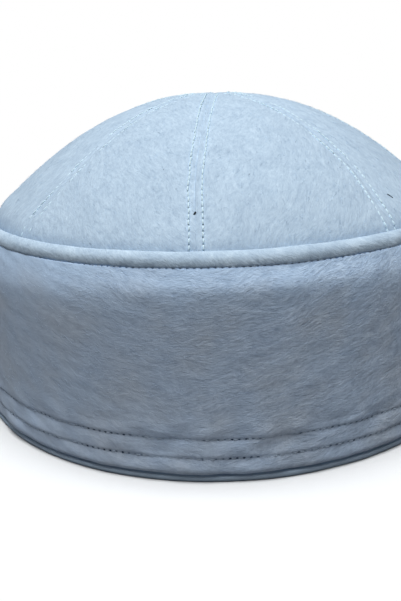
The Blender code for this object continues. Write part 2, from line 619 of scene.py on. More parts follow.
class FeltGrain(ShadeGroup):
    """Brushed felt: soft patches, streaks of combed fibre and fine flecks along the grain."""

    def wire(self) -> None:
        """Adds streaks turned a little both ways to patches and flecks, as shade and as height."""
        g, given = self.graph, self.given.outputs
        place = given["Grain"]
        drift = g.add("TexNoise", {"Vector": place, "Scale": 0.05, "Detail": 1.0})
        moved = g.add("VectorMath", {0: drift.outputs["Color"], 1: (0.5, 0.5, 0.5)},
                      operation="SUBTRACT").outputs[0]
        scaled = g.add("VectorMath", {0: moved, 1: (8.0, 8.0, 0.0)}, operation="MULTIPLY").outputs[0]
        bent = g.add("VectorMath", {0: place, 1: scaled}, operation="ADD").outputs[0]
        patches = g.noise(place, 0.13, 4.0, 0.75)
        layers = []
        for turn, stretch, scale in ((0.08, 0.34, 0.62), (-0.24, 0.38, 0.8), (0.22, 0.44, 1.1)):
            turned = g.add("Mapping", {"Vector": bent, "Rotation": (0.0, 0.0, turn)})
            squeezed = g.add("VectorMath", {0: turned.outputs[0], 1: (stretch, 1.0, 1.0)},
                             operation="MULTIPLY")
            layers.append(g.noise(squeezed.outputs[0], scale, 2.2, 0.6))
        where = g.noise(place, 0.2, 1.0)
        pick = g.maths("MULTIPLY_ADD", g.maths("SUBTRACT", where, 0.5), 5.0, 0.5, clamp=True)
        first = g.add("Mix", {0: pick, 2: layers[0], 3: layers[1]}, data_type="FLOAT").outputs[0]
        streaks = g.maths("MULTIPLY_ADD", layers[2], 0.6, g.maths("MULTIPLY", first, 0.8))
        fine = g.add("VectorMath", {0: bent, 1: (1.0, 2.6, 1.0)}, operation="MULTIPLY").outputs[0]
        flecks = g.noise(fine, 1.0, 2.0, 0.75)
        shade = g.maths("MULTIPLY", g.maths("SUBTRACT", patches, 0.5), given["Patches"])
        for layer, middle, name in ((streaks, 0.7, "Streaks"), (flecks, 0.5, "Flecks")):
            shade = g.maths("MULTIPLY_ADD", g.maths("SUBTRACT", layer, middle), given[name], shade)
        g.feed(self.result.inputs["Shade"], g.maths("ADD", shade, 1.0))
        height = g.maths("MULTIPLY_ADD", flecks, 0.5, g.maths("MULTIPLY", streaks, 0.8))
        g.feed(self.result.inputs["Height"], height)
        warm = g.add("MapRange", {0: g.noise(place, 0.055, 2.5, 0.5), 1: 0.42, 2: 0.64})
        warmth = g.maths("MULTIPLY", warm.outputs[0], given["Undyed"])
        g.feed(self.result.inputs["Warmth"], warmth)


class NeedleHoles(ShadeGroup):
    """Masks of painted shade: dark spots at the needle holes between a row's stitches, and shade
    along the furrow that the row lies in.

    Along the row the map counts stitches, so a hole lies at each whole number. Across it the map
    gives the distance from the row; where it is below nought and the count lies within a reach of
    some middle, every hole stands open and the furrow's painted shade grows fourteenfold, the
    painted shade of a ditch.
    """

    def wire(self) -> None:
        """Painted hole shade: an ellipse round each whole number; some holes are darker than others."""
        g, given = self.graph, self.given.outputs
        split = g.add("SeparateXYZ", {0: given["Row"]}).outputs
        nearest = g.maths("ROUND", split[0])
        off = g.maths("MULTIPLY", g.maths("SUBTRACT", split[0], nearest), STITCH)
        along = g.maths("DIVIDE", off, given["Half Length"])
        across = g.maths("DIVIDE", split[1], given["Half Width"])
        far = g.maths("ADD", g.maths("MULTIPLY", along, along), g.maths("MULTIPLY", across, across))
        hole = g.add("MapRange", {0: far, 1: 1.5, 2: 0.45, 3: 0.0, 4: 1.0},
                     interpolation_type="SMOOTHSTEP").outputs[0]
        chance = g.add("TexWhiteNoise", {"W": nearest}, noise_dimensions="1D").outputs["Value"]
        slow = g.add("TexNoise", {"W": g.maths("MULTIPLY", nearest, 0.11), "Scale": 1.0},
                     noise_dimensions="1D").outputs[0]
        drawn = g.maths("MULTIPLY_ADD", g.maths("SUBTRACT", slow, 0.5), 2.6, 0.12)
        some = g.maths("MULTIPLY_ADD", chance, 0.6, drawn, clamp=True)
        facing = g.maths("COMPARE", split[0], given["Open Middle"], given["Open Reach"])
        below = g.maths("MULTIPLY", g.maths("LESS_THAN", split[1], 0.0), facing)
        opened = g.maths("MAXIMUM", some, below)
        g.feed(self.result.inputs["Hole"], g.maths("MULTIPLY", hole, opened))
        # Painted shade along the furrow, full on the row and gone at the furrow width.
        apart = g.maths("ABSOLUTE", split[1])
        furrow = g.add("MapRange", {0: apart, 1: given["Furrow Width"], 2: 0.0, 3: 0.0, 4: 1.0},
                       interpolation_type="SMOOTHSTEP").outputs[0]
        furrow_shade_gain = g.maths("MULTIPLY_ADD", below, 13.0, 1.0)
        g.feed(self.result.inputs["Furrow"], g.maths("MULTIPLY", furrow, furrow_shade_gain))


@dataclass(frozen=True)
class Groups:
    """The node groups that the materials share."""

    grain: FeltGrain
    holes: NeedleHoles


@dataclass(frozen=True)
class Felt:
    """A felt: its colour, how much its nap varies, the painted shade of its needle holes and furrows,
    and the painted light on its shoulder.

    Patches, streaks and flecks are the strengths of the grain's three layers, and height that of its
    relief, in mm. Towards +X all four grow by the rougher share and towards -X they shrink by it.
    Undyed is how much greyer wool shows. Hole and furrow are how far the colour darkens in a needle
    hole and along a row's furrow: painted shade. In a row whose distances are below nought, every
    hole within the open reach of the open middle, both in stitches, stands open. Between the painted
    tint heights, in metres, the colour turns to the shoulder's: painted light, lighter and bluer where
    the overhead light falls, while the undyed patches fade.
    """

    name: str
    colour: tuple[float, float, float]
    patches: float
    streaks: float
    flecks: float
    height: float
    hole: float
    furrow: float
    hole_length: float = 0.36
    hole_width: float = 0.30
    furrow_width: float = 0.7
    open_middle: float = 0.0
    open_reach: float = -1.0
    rougher: float = 0.0
    round_radius: float = 94.8
    undyed: float = 0.05
    roughness: float = 0.93
    specular: float = 0.12
    sheen: float = 0.10
    sheen_roughness: float = 0.6
    sheen_tint: tuple[float, float, float] = (0.82, 0.91, 1.0)
    red_power: float = 1.15
    blue_power: float = 0.82
    # Colour of the painted light on the shoulder: lighter and bluer.
    shoulder: tuple[float, float, float] | None = None
    painted_tint_heights: tuple[float, float] = (0.048, 0.062)

    def warm(self) -> tuple[float, float, float]:
        """The felt's colour where a little undyed wool shows: greyer and less blue."""
        red, green, blue = self.colour
        return (red * 1.06, green * 0.98, blue * 0.90)

    def material(self, groups: Groups) -> bpy.types.Material:
        """A matt felt whose colour and fine relief follow its own grain and stitch maps.

        Args:
            groups: The shared node groups.

        Returns:
            The material.
        """
        material, g = start_material(self.name)
        shader = g.tree.nodes["Principled BSDF"]
        place = g.add("UVMap", uv_map="grain").outputs[0]
        aside = g.add("SeparateXYZ", {0: place}).outputs[0]
        turn = g.maths("DIVIDE", aside, self.round_radius)
        rise = g.maths("MULTIPLY_ADD", g.maths("SINE", turn), self.rougher, 1.0)
        strengths = {name: g.maths("MULTIPLY", rise, value) for name, value in
                     (("Patches", self.patches), ("Streaks", self.streaks), ("Flecks", self.flecks))}
        grain = groups.grain.place(g, {"Grain": place, "Undyed": self.undyed, **strengths})
        holes = groups.holes.place(g, {
            "Row": g.add("UVMap", uv_map="row").outputs[0], "Half Length": self.hole_length,
            "Half Width": self.hole_width, "Furrow Width": self.furrow_width,
            "Open Middle": self.open_middle, "Open Reach": self.open_reach})
        # Painted shade: the colour darkens in each needle hole and along each row's furrow.
        dark = g.maths("MULTIPLY_ADD", holes.outputs["Hole"], -self.hole, 1.0)
        sunk = g.maths("MULTIPLY_ADD", holes.outputs["Furrow"], -self.furrow, 1.0)
        shade = g.maths("MULTIPLY", grain.outputs["Shade"], g.maths("MULTIPLY", dark, sunk))
        # Painted light: between the two heights the colour turns lighter and bluer, as where the
        # overhead light falls on the band's shoulder, and the random undyed patches fade to a fifth.
        tall = g.add("SeparateXYZ", {0: g.add("TexCoord").outputs["Object"]}).outputs[2]
        low, full = self.painted_tint_heights
        high = g.add("MapRange", {0: tall, 1: low, 2: full}).outputs[0]
        lit_tinted = g.add("Mix", {0: high, 6: (*self.colour, 1.0),
                             7: (*(self.shoulder or self.colour), 1.0)}, data_type="RGBA").outputs[2]
        lower = g.maths("MULTIPLY_ADD", high, -0.8, 1.0)
        warmth = g.maths("MULTIPLY", grain.outputs["Warmth"], lower)
        tone = g.add("Mix", {0: warmth, 6: lit_tinted, 7: (*self.warm(), 1.0)},
                     data_type="RGBA").outputs[2]
        # Darker tone turns bluer and lighter tone whiter, in the random grain and the painted shade
        # alike.
        shades = g.add("CombineXYZ", {0: g.maths("POWER", shade, self.red_power), 1: shade,
                                      2: g.maths("POWER", shade, self.blue_power)}).outputs[0]
        colour = g.add("VectorMath", {0: tone, 1: shades}, operation="MULTIPLY").outputs[0]
        g.feed(shader.inputs["Base Color"], colour)
        level = g.maths("MULTIPLY_ADD", holes.outputs["Hole"], -2.0, grain.outputs["Height"])
        bump = g.add("Bump", {"Strength": 1.0, "Distance": self.height * MM,
                              "Height": g.maths("MULTIPLY", level, rise)})
        g.feed(shader.inputs["Normal"], bump.outputs[0])
        shader.inputs["Roughness"].default_value = self.roughness
        shader.inputs["Specular IOR Level"].default_value = self.specular
        shader.inputs["Sheen Weight"].default_value = self.sheen
        shader.inputs["Sheen Roughness"].default_value = self.sheen_roughness
        shader.inputs["Sheen Tint"].default_value = (*self.sheen_tint, 1.0)
        return material


@dataclass(frozen=True)
class Strand:
    """A thread or a loose fibre: its colour, how much single ones differ, and its ply.

    The ply is the depth, in mm, of the slanting grooves between its two plies, and the twist their
    turn in radians for each mm of its length.
    """

    name: str
    colour: tuple[float, float, float]
    spread: float
    ply: float
    roughness: float
    sheen: float = 0.15
    specular: float = 0.2
    sheen_tint: tuple[float, float, float] = (0.60, 0.82, 1.0)
    twist: float = 14.0

    def material(self) -> bpy.types.Material:
        """A strand with slanting plies in its relief and a shade of its own for each one.

        Returns:
            The material.
        """
        material, g = start_material(self.name)
        shader = g.tree.nodes["Principled BSDF"]
        tint = g.add("Attribute", attribute_name="tint").outputs["Fac"]
        shade = g.maths("MULTIPLY_ADD", tint, self.spread, 1.0 - 0.5 * self.spread)
        colour = g.add("VectorMath", {0: self.colour, "Scale": shade}, operation="SCALE").outputs[0]
        g.feed(shader.inputs["Base Color"], colour)
        place = g.add("SeparateXYZ", {0: g.add("UVMap", uv_map="strand").outputs[0]}).outputs
        twist = g.maths("ADD", g.maths("MULTIPLY", place[0], 4.0 * math.pi),
                        g.maths("MULTIPLY", place[1], self.twist))
        bump = g.add("Bump", {"Strength": 1.0, "Distance": self.ply * MM,
                              "Height": g.maths("SINE", twist)})
        g.feed(shader.inputs["Normal"], bump.outputs[0])
        shader.inputs["Roughness"].default_value = self.roughness
        shader.inputs["Specular IOR Level"].default_value = self.specular
        shader.inputs["Sheen Weight"].default_value = self.sheen
        shader.inputs["Sheen Tint"].default_value = (*self.sheen_tint, 1.0)
        return material


@dataclass
class Seams:
    """Where the crown's eight seams run: true, apart from the wander of the three at the front."""

    drifts: dict[int, tuple[float, float]] = field(
        default_factory=lambda: {-1: (0.3, 2.0), 0: (0.0, -1.2), 1: (-0.4, 2.2)}
    )
    edge: float = 82.7
    run_in: float = 0.25

    def angle(self, seam: int, half_width: Array) -> Array:
        """Angle of a seam: its even share of the round, plus a drift that grows away from the piping.

        Args:
            seam: Number of the seam, from the front towards +X.
            half_width: Distance from the middle, along X.

        Returns:
            The angle in radians.
        """
        turn = seam - GORES if seam > GORES // 2 else seam
        low, high = self.drifts.get(turn, (0.0, 0.0))
        share = smooth_step(0.0, 1.0, (1.0 - np.minimum(half_width / self.edge, 1.0)) / self.run_in)
        return 2.0 * math.pi * seam / GORES + np.radians(low + (high - low) * share)


@dataclass
class StitchRow:
    """A row of machine stitches: one short thread between each two needle holes."""

    length: float = 1.98
    radius: float = 0.30
    crest: float = 0.15
    dive: float = 0.24
    slack: float = 0.05
    thinner: float = 0.3
    wander: float = 0.07
    sides: int = 5

    def reach(self) -> Array:
        """Places along a stitch, from -1 to 1."""
        return np.array([-1.0, -0.62, 0.0, 0.62, 1.0])

    def lift(self, loose: Array) -> Array:
        """Height over the felt along a stitch: a crest in its middle, diving in at both ends.

        Args:
            loose: How slack each stitch is, around 0.

        Returns:
            Heights: stitches, steps.
        """
        reach = self.reach()[None, :]
        return self.crest + self.slack * loose[:, None] - self.dive * reach**4

    def girth(self, count: int) -> Array:
        """Radius along each stitch, a little less where it enters the felt."""
        girth = self.radius * (1.0 - self.thinner * self.reach()[None, :] ** 4)
        return np.repeat(girth, count, axis=0)


@dataclass(frozen=True)
class Nap:
    """Loose fibres of a brushed felt, each with its own slant, length, bend, lift and thickness.

    A fibre's length is e to the power of a number with a mean and a spread, kept from the shortest to
    the longest. It starts below the felt by its root, and rises by its foot and by a draw from the
    lift, made rarer when high by a power, times the sine of an arch in half turns.
    """

    count: int
    points: int
    slant: float
    log_length: tuple[float, float]
    shortest: float
    longest: float
    curl: float
    lift: tuple[float, float]
    power: float
    root: float
    foot: float
    arch: float
    radius: tuple[float, float]
    sides: int = 3

    def steps(self) -> Array:
        """Shares of a fibre's length at which its points stand."""
        return np.linspace(0.0, 1.0, self.points)[None, :]

    def slants(self, rng: np.random.Generator, count: int) -> Array:
        """How far each fibre turns from the run of the nap, in radians."""
        return self.slant * rng.standard_normal(count)[:, None]

    def lengths(self, rng: np.random.Generator, count: int) -> Array:
        """Length of each fibre: most are short and a few are long."""
        return np.clip(rng.lognormal(*self.log_length, count), self.shortest, self.longest)[:, None]

    def curls(self, rng: np.random.Generator, count: int) -> Array:
        """How far each fibre bends aside, as a share of its length."""
        return self.curl * rng.standard_normal(count)[:, None]

    def lifts(self, rng: np.random.Generator, count: int) -> Array:
        """Height over the felt along each fibre."""
        rise = rng.uniform(*self.lift, count)[:, None] ** self.power
        return -self.root + (self.foot + rise) * np.sin(math.pi * self.arch * self.steps())

    def radii(self, rng: np.random.Generator, count: int) -> Array:
        """Radius along each fibre, which thins towards its tip."""
        return rng.uniform(*self.radius, count)[:, None] * (1.0 - 0.75 * self.steps())


@dataclass
class Crown:
    """The crown: eight gores over a low dome, each turned down behind the piping."""

    oval: Oval
    seams: Seams
    felt: float = 2.2
    foot_height: float = 66.4
    foot_half_width: float = 84.5
    rise: float = 41.0
    power: float = 2.15
    puff: float = 0.9
    pinched_share: float = 0.4
    valley: Hump = Hump(-0.07, 0.0, 0.50)
    pinch: Hump = Hump(-0.08, 0.0, 1.1)
    beside_seam: Hump = Hump(0.05, 1.15, 0.6)
    flank: Hump = Hump(1.1, 1.2, 0.22)
    flank_foot: Hump = Hump(1.0, 80.5, 4.0)
    furrow_depth: float = 0.04
    furrow_width: float = 0.60
    hole_depth: float = 0.01
    open_hole_depth: float = 0.04
    hole_shut: float = 0.34
    pucker_reach: float = 3.2
    puff_rises: tuple[float, float] = (0.0, 22.0)
    puff_falls: tuple[float, float] = (83.6, 70.0)
    holes_open: tuple[float, float] = (67.0, 80.0)
    relief_apart: float = 75.0
    grain_apart: tuple[float, float] = (140.0, 61.0)
    row_offset: float = 2.1
    seam_clearance: float = 0.004
    rows: int = 144
    columns: int = 108
    coarser: int = 6
    first_stitch: float = 7.0
    last_stitch: float = 83.2
    nap_turns: tuple[float, ...] = (-24.0, -12.0, 12.0, -15.0, 6.0, -10.0, 16.0, 42.0)
    fibres: Nap = Nap(
        count=4400, points=4, slant=0.35, log_length=(0.75, 0.4), shortest=0.8, longest=4.5,
        curl=0.25, lift=(0.05, 0.45), power=1.5, root=0.08, foot=0.10, arch=0.62,
        radius=(0.022, 0.040),
    )
    profile: Profile = field(init=False)

    def __post_init__(self) -> None:
        """Draws the dome's profile: height = foot + rise (1 - (half width / foot half width)^power)."""
        dome = [(half_width, self.dome_height(half_width))
                for half_width in (0.02, *np.linspace(4.0, 78.0, 38))]
        edge = [(79.4, 71.3), (80.6, 69.9), (81.4, 68.5), (81.9, 67.2), (82.3, 66.0), (82.6, 64.5),
                (82.8, 61.3)]
        self.profile = Profile(tuple(dome + edge), rounding=1.2)
        self.waves = Unevenness(11, 16.0, 12.0, 0.13)
        self.nap = Unevenness(12, 0.8, 2.2, 0.024)
        self.pucker = Unevenness(13, 1.6, 1.1, 0.045)

    def dome_height(self, half_width: float) -> float:
        """Height of the dome at a half width."""
        share = half_width / self.foot_half_width
        return self.foot_height + self.rise * (1.0 - share**self.power)

    def width(self, gore: int, half_width: Array) -> Array:
        """Width of a gore between its seams, in mm, at a distance from the middle."""
        turn = self.seams.angle(gore + 1, half_width) - self.seams.angle(gore, half_width)
        return np.maximum(turn * half_width * self.oval.mean, 1e-6)

    def outside(self, gore: int, share: Array, along: Array, lift: Array | float = 0.0) -> Array:
        """The gore's outer face.

        On the dome's profile the felt stands proud by: a puff between the seams, low along them; a
        narrow valley at each seam; a furrow under each row of stitches, deepest at the needle
        holes; the unevenness of hand-cut felt; and a fuller flank on both sides of the face.

        Args:
            gore: Number of the gore.
            share: From 0 at its left seam to 1 at its right seam.
            along: Length along the profile, from the tip.
            lift: Distance off the felt.

        Returns:
            Points.
        """
        half_width, height, out, up = self.profile.at(along)
        width = self.width(gore, half_width)
        near = np.minimum(share, 1.0 - share) * width
        run_out = smooth_step(*self.puff_rises, half_width) * smooth_step(*self.puff_falls, half_width)
        swell = self.puff * (np.sin(math.pi * np.clip(share, 0, 1)) ** 0.9 - self.pinched_share)
        seam = gore + (share > 0.5)
        phase = np.cos(2.0 * math.pi * (along / STITCH + STAGGER * seam))
        row = near - self.row_offset
        started = smooth_step(self.first_stitch - 2.0, self.first_stitch, half_width)
        opened = smooth_step(*self.holes_open, half_width) * (seam % GORES == 0)
        holes = (self.hole_depth + self.open_hole_depth * opened) * phase
        proud = swell * run_out + self.valley.at(near) + self.pinch.at(near)
        proud = proud - started * bell(row, self.furrow_width) * (self.furrow_depth + holes)
        proud = proud + started * self.beside_seam.at(near)
        across = (share - 0.5) * width + self.relief_apart * gore
        proud = proud + run_out * self.waves.at(across, along)
        proud = proud + started * self.nap.at(across, along)
        proud = proud + started * self.pucker.at(across, along) * bell(near, self.pucker_reach)
        proud = proud + lift
        margin = self.seam_clearance / np.maximum(half_width, 1.0)
        left = self.seams.angle(gore, half_width) + margin
        right = self.seams.angle(gore + 1, half_width) - margin
        angle = left + (right - left) * share
        beside = np.abs(np.mod(angle + math.pi, 2.0 * math.pi) - math.pi)
        proud = proud + self.flank.at(beside) * self.flank_foot.at(half_width)
        return self.oval.point(angle, half_width + out * proud, height + up * proud)

    def away(self, gore: int, share: Array, along: Array) -> Array:
        """Directions away from the gore's outer face.

        Args:
            gore: Number of the gore.
            share: From 0 at its left seam to 1 at its right seam.
            along: Length along the profile, from the tip.

        Returns:
            Unit directions.
        """
        half_width, _, out, up = self.profile.at(along)
        left, right = (self.seams.angle(gore + k, half_width) for k in (0, 1))
        return self.oval.outward(left + (right - left) * share, out, up)

    def shares(self) -> Array:
        """Shares of a gore's width at which its columns stand, close together near its seams."""
        half, close = self.columns // 2, 16
        near = np.linspace(0.0, 0.048, close + 1)
        far = np.linspace(0.048, 0.5, half - close + 1)[1:]
        left = np.concatenate([near, far])
        return np.concatenate([left, 1.0 - left[-2::-1]])

    def build_gore(self, gore: int, material: bpy.types.Material) -> bpy.types.Object:
        """One gore: a fine outer grid, a coarse inner one a felt's thickness below, and its edges.

        Args:
            gore: Number of the gore.
            material: Its felt.

        Returns:
            The gore.
        """
        body = Body(f"felt_gore_{gore + 1}")
        along = np.linspace(0.0, self.profile.length, self.rows + 1)[:, None]
        share = self.shares()[None, :]
        half_width = self.profile.at(along)[0]
        width = self.width(gore, half_width)
        near = np.minimum(share, 1.0 - share) * width
        seam = gore + (share > 0.5)
        across = (share - 0.5) * width
        turn = math.radians(self.nap_turns[gore])
        with_nap = along * math.cos(turn) + across * math.sin(turn) + self.grain_apart[0] * gore
        cross_nap = across * math.cos(turn) - along * math.sin(turn) + self.grain_apart[1] * gore
        grain = np.stack(np.broadcast_arrays(with_nap, cross_nap), -1)
        count = along / STITCH + STAGGER * seam + 100.0 * (seam + 1)
        middle_seam = seam % GORES == 0
        # Only where this map lets a hole show does the crown felt paint its shade: near the piping on
        # the middle seam.
        drawn_shut = self.hole_shut * (1.0 - smooth_step(66.0, 79.0, half_width) * middle_seam)
        distance = np.hypot(near - self.row_offset, drawn_shut)
        row = np.stack(np.broadcast_arrays(count, distance), -1)
        maps = {"grain": grain, "row": row}
        outer = body.add_grid(self.outside(gore, share, along), maps)
        step = self.coarser
        inner_points = self.outside(gore, share, along[::step], -self.felt)[:, ::step]
        plain = np.stack([row[..., 0], np.full_like(row[..., 0], NO_ROW)], -1)
        inner_maps = {"grain": grain[::step, ::step], "row": plain[::step, ::step]}
        inner = body.add_grid(inner_points, inner_maps, outward=False)
        body.add_edge(self.rim_of(outer), self.rim_of(inner))
        return body.finish(material)

    @staticmethod
    def rim_of(number: Array) -> Array:
        """Numbers of a grid's edge points: down the left, along the foot, up the right, back.

        Args:
            number: The number of each point: rows, columns.

        Returns:
            The numbers in order round the edge.
        """
        return np.concatenate(
            [number[:-1, 0], number[-1, :-1], number[:0:-1, -1], number[0, :0:-1]]
        )

    def build_stitches(
        self, face: Face, thread: StitchRow, material: bpy.types.Material
    ) -> bpy.types.Object:
        """The rows of stitches on both sides of every seam, on one face of the felt.

        Args:
            face: Outside or inside.
            thread: The stitches.
            material: Their thread.

        Returns:
            All the rows as one piece.
        """
        body = Body(f"crown_stitches_{face.name.lower()}")
        start = float(np.interp(self.first_stitch, self.profile.line[:, 0], self.profile.along))
        end = float(np.interp(self.last_stitch, self.profile.line[:, 0], self.profile.along))
        rng = np.random.default_rng(21 + int(face is Face.INSIDE))
        paths, raised = [], []
        for gore in range(GORES):
            for right in (0, 1):
                phase = STAGGER * (gore + right)
                first = math.ceil(start / STITCH + phase)
                middle = (np.arange(first, math.floor(end / STITCH + phase)) + 0.5 - phase) * STITCH
                middle_seam = (gore + right) % GORES == 0
                apart = self.profile.at(middle)[0][:, None]
                drawn = 1.1 - 0.22 * smooth_step(66.0, 80.0, apart) if middle_seam else 1.0
                along = middle[:, None] + 0.5 * thread.length * drawn * thread.reach()[None, :]
                loose = rng.standard_normal(len(middle))
                offset = self.row_offset + thread.wander * rng.standard_normal(len(middle))[:, None]
                offset = offset + 0.05 * thread.reach()[None, :]
                share = offset / self.width(gore, self.profile.at(along)[0])
                share = 1.0 - share if right else share
                below = self.felt if face is Face.INSIDE else 0.0
                buried = np.convolve(rng.standard_normal(len(middle)), (0.5, 0.7, 0.5), "same")
                buried = buried[:, None] * 0.11 + (0.25 if (gore, right) == (7, 0) else 0.15)
                sunk = below + (0.0 if middle_seam else np.maximum(buried, 0.0))
                lift = face.value * thread.lift(loose) - sunk
                paths.append(self.outside(gore, share, along, lift))
                raised.append(face.value * self.away(gore, share, along))
        path = np.concatenate(paths)
        body.add_strands(path, np.concatenate(raised), thread.girth(len(path)), thread.sides)
        tint = np.repeat(rng.random(len(path)), path.shape[1] * thread.sides)
        return body.finish(material, tint)

    def build_nap(self, material: bpy.types.Material) -> bpy.types.Object:
        """Loose fibres that lie down the gores, a little raised and each with its own slant.

        Args:
            material: What they look like.

        Returns:
            The fibres as one piece.
        """
        rng = np.random.default_rng(31)
        body = Body("crown_nap")
        nap = self.fibres
        each, steps = nap.count // GORES, nap.steps()
        paths, raised = [], []
        for gore in range(GORES):
            half_width = 82.5 * rng.random(each)[:, None] ** 0.36
            start = np.interp(half_width, self.profile.line[:, 0], self.profile.along)
            share = rng.uniform(0.01, 0.99, each)[:, None]
            slant = nap.slants(rng, each) + math.radians(self.nap_turns[gore])
            length = nap.lengths(rng, each)
            curl = nap.curls(rng, each)
            along = np.clip(start + length * steps * np.cos(slant), 0.5, self.profile.length - 5.0)
            side = length * (steps * np.sin(slant) + curl * steps**2)
            share = np.clip(share + side / self.width(gore, half_width), 0.0, 1.0)
            paths.append(self.outside(gore, share, along, nap.lifts(rng, each)))
            raised.append(self.away(gore, share, along))
        path = np.concatenate(paths)
        body.add_strands(path, np.concatenate(raised), nap.radii(rng, len(path)), nap.sides)
        tint = np.repeat(rng.random(len(path)), nap.points * nap.sides)
        return body.finish(material, tint)

    def build_lint(self, material: bpy.types.Material) -> bpy.types.Object:
        """The few dark specks of lint caught in the nap: short bent strands pressed on the felt.

        Args:
            material: What they look like.

        Returns:
            The specks as one piece.
        """
        body = Body("crown_lint")
        specks = np.array([
            (-0.50, 73.60, 0.75, -0.10, 0.33), (-0.75, 73.95, 0.40, -0.30, 0.24),
            (51.26, 74.76, 0.80, 0.90, 0.13), (51.62, 75.50, 0.55, 0.55, 0.12),
            (-35.65, 62.71, 0.35, 0.10, 0.09), (-10.77, 60.61, 0.40, 0.02, 0.07),
            (-5.97, 66.89, 0.45, 0.00, 0.06), (13.30, 63.51, 0.35, 0.10, 0.06),
        ])
        steps = np.linspace(-0.5, 0.5, 5)[None, :]
        angle = np.radians(specks[:, :1])
        half_width = specks[:, 1:2] + specks[:, 3:4] * steps
        angle = angle + specks[:, 2:3] * steps / specks[:, 1:2] / self.oval.mean
        along = np.interp(half_width, self.profile.line[:, 0], self.profile.along)
        paths, raised = np.zeros((*angle.shape, 3)), np.zeros((*angle.shape, 3))
        for gore in range(-2, 2):
            left, right = (self.seams.angle(gore + k, half_width) for k in (0, 1))
            share = (angle - left) / (right - left)
            inside = (share[:, 2] >= 0.0) & (share[:, 2] < 1.0)
            kept = np.clip(share[inside], 0.0, 1.0)
            number = gore % GORES
            lift = 0.5 * specks[inside, 4:5] + 0.05 * np.cos(math.pi * steps)
            paths[inside] = self.outside(number, kept, along[inside], lift)
            raised[inside] = self.away(number, kept, along[inside])
        thick = specks[:, 4:5] * np.sqrt(1.0 - (1.7 * steps) ** 2)
        body.add_strands(paths, raised, thick, 6)
        tint = np.repeat(np.array([0.1, 0.0, 0.3, 0.4, 1.0, 1.0, 1.0, 1.0]), 5 * 6)
        return body.finish(material, tint)

    def build(self, finishes: "Finishes") -> None:
        """Builds the gores, their stitches, their nap and the lint.

        Args:
            finishes: The materials.
        """
        for gore in range(GORES):
            piece = self.build_gore(gore, finishes.crown)
            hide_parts(f"crown_gore_{gore + 1}")
        self.build_stitches(Face.OUTSIDE, StitchRow(), finishes.thread)
        self.build_stitches(Face.INSIDE, StitchRow(radius=0.15), finishes.thread)
        self.build_nap(finishes.fibre)
        self.build_lint(finishes.lint)


@dataclass
class Piping:
    """The piping: a felt welt over a cord, full on its outside and puckered by the row below it."""

    oval: Oval
    places: tuple[tuple[float, float], ...] = (
        (85.4, 68.3), (86.31, 68.05), (87.09, 67.55), (87.65, 66.98), (88.0, 66.37), (88.18, 65.7),
        (88.26, 64.55), (88.14, 64.1), (87.6, 63.85), (86.8, 63.8), (85.9, 63.8), (84.7, 64.2),
        (84.0, 65.0), (83.75, 66.0), (84.0, 67.1), (84.7, 67.95),
    )
    pinch_height: float = 0.05
    under: tuple[float, float] = (66.6, 64.2)
    columns: int = 852
    rows: int = 26
    profile: Profile = field(init=False)

    def __post_init__(self) -> None:
        """Draws the closed profile and the felt's relief."""
        self.profile = Profile(self.places, rounding=0.3, closed=True)
        self.swell = Unevenness(41, 6.0, 2.2, 0.08)
        self.crease = Unevenness(42, 1.1, 1.0, 0.040)

    def build(self, finishes: "Finishes") -> None:
        """A ring: its profile, plus slow swells, fine creases across and a pucker at each stitch.

        Args:
            finishes: The materials.
        """
        body = Body("felt_piping")
        angle = round_angles(self.columns)[None, :]
        along = self.profile.length * np.arange(self.rows)[:, None] / self.rows
        half_width, height, out, up = self.profile.at(along)
        arc = angle * self.oval.radius
        under = smooth_step(*self.under, height) * (out > -0.2)
        pinch = np.cos(2.0 * math.pi * (angle / (2.0 * math.pi) * STITCHES_ROUND + 0.5))
        proud = self.swell.at(arc, along) + self.pinch_height * under * pinch
        proud = proud + self.crease.at(arc, along) * (0.7 + 0.6 * under)
        points = self.oval.point(angle, half_width + out * proud, height + up * proud)
        wide = np.append(angle[0], math.pi)[None, :] * self.oval.radius
        tall = np.append(along[:, 0], self.profile.length)[:, None]
        grain = np.stack([0.6 * tall + 0.8 * wide, 0.8 * tall - 0.6 * wide], -1)
        body.add_grid(points, {"grain": grain, "row": plain_row(grain.shape[:2])}, Weld.RING)
        piece = body.finish(finishes.piping)
        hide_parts("crown_piping")


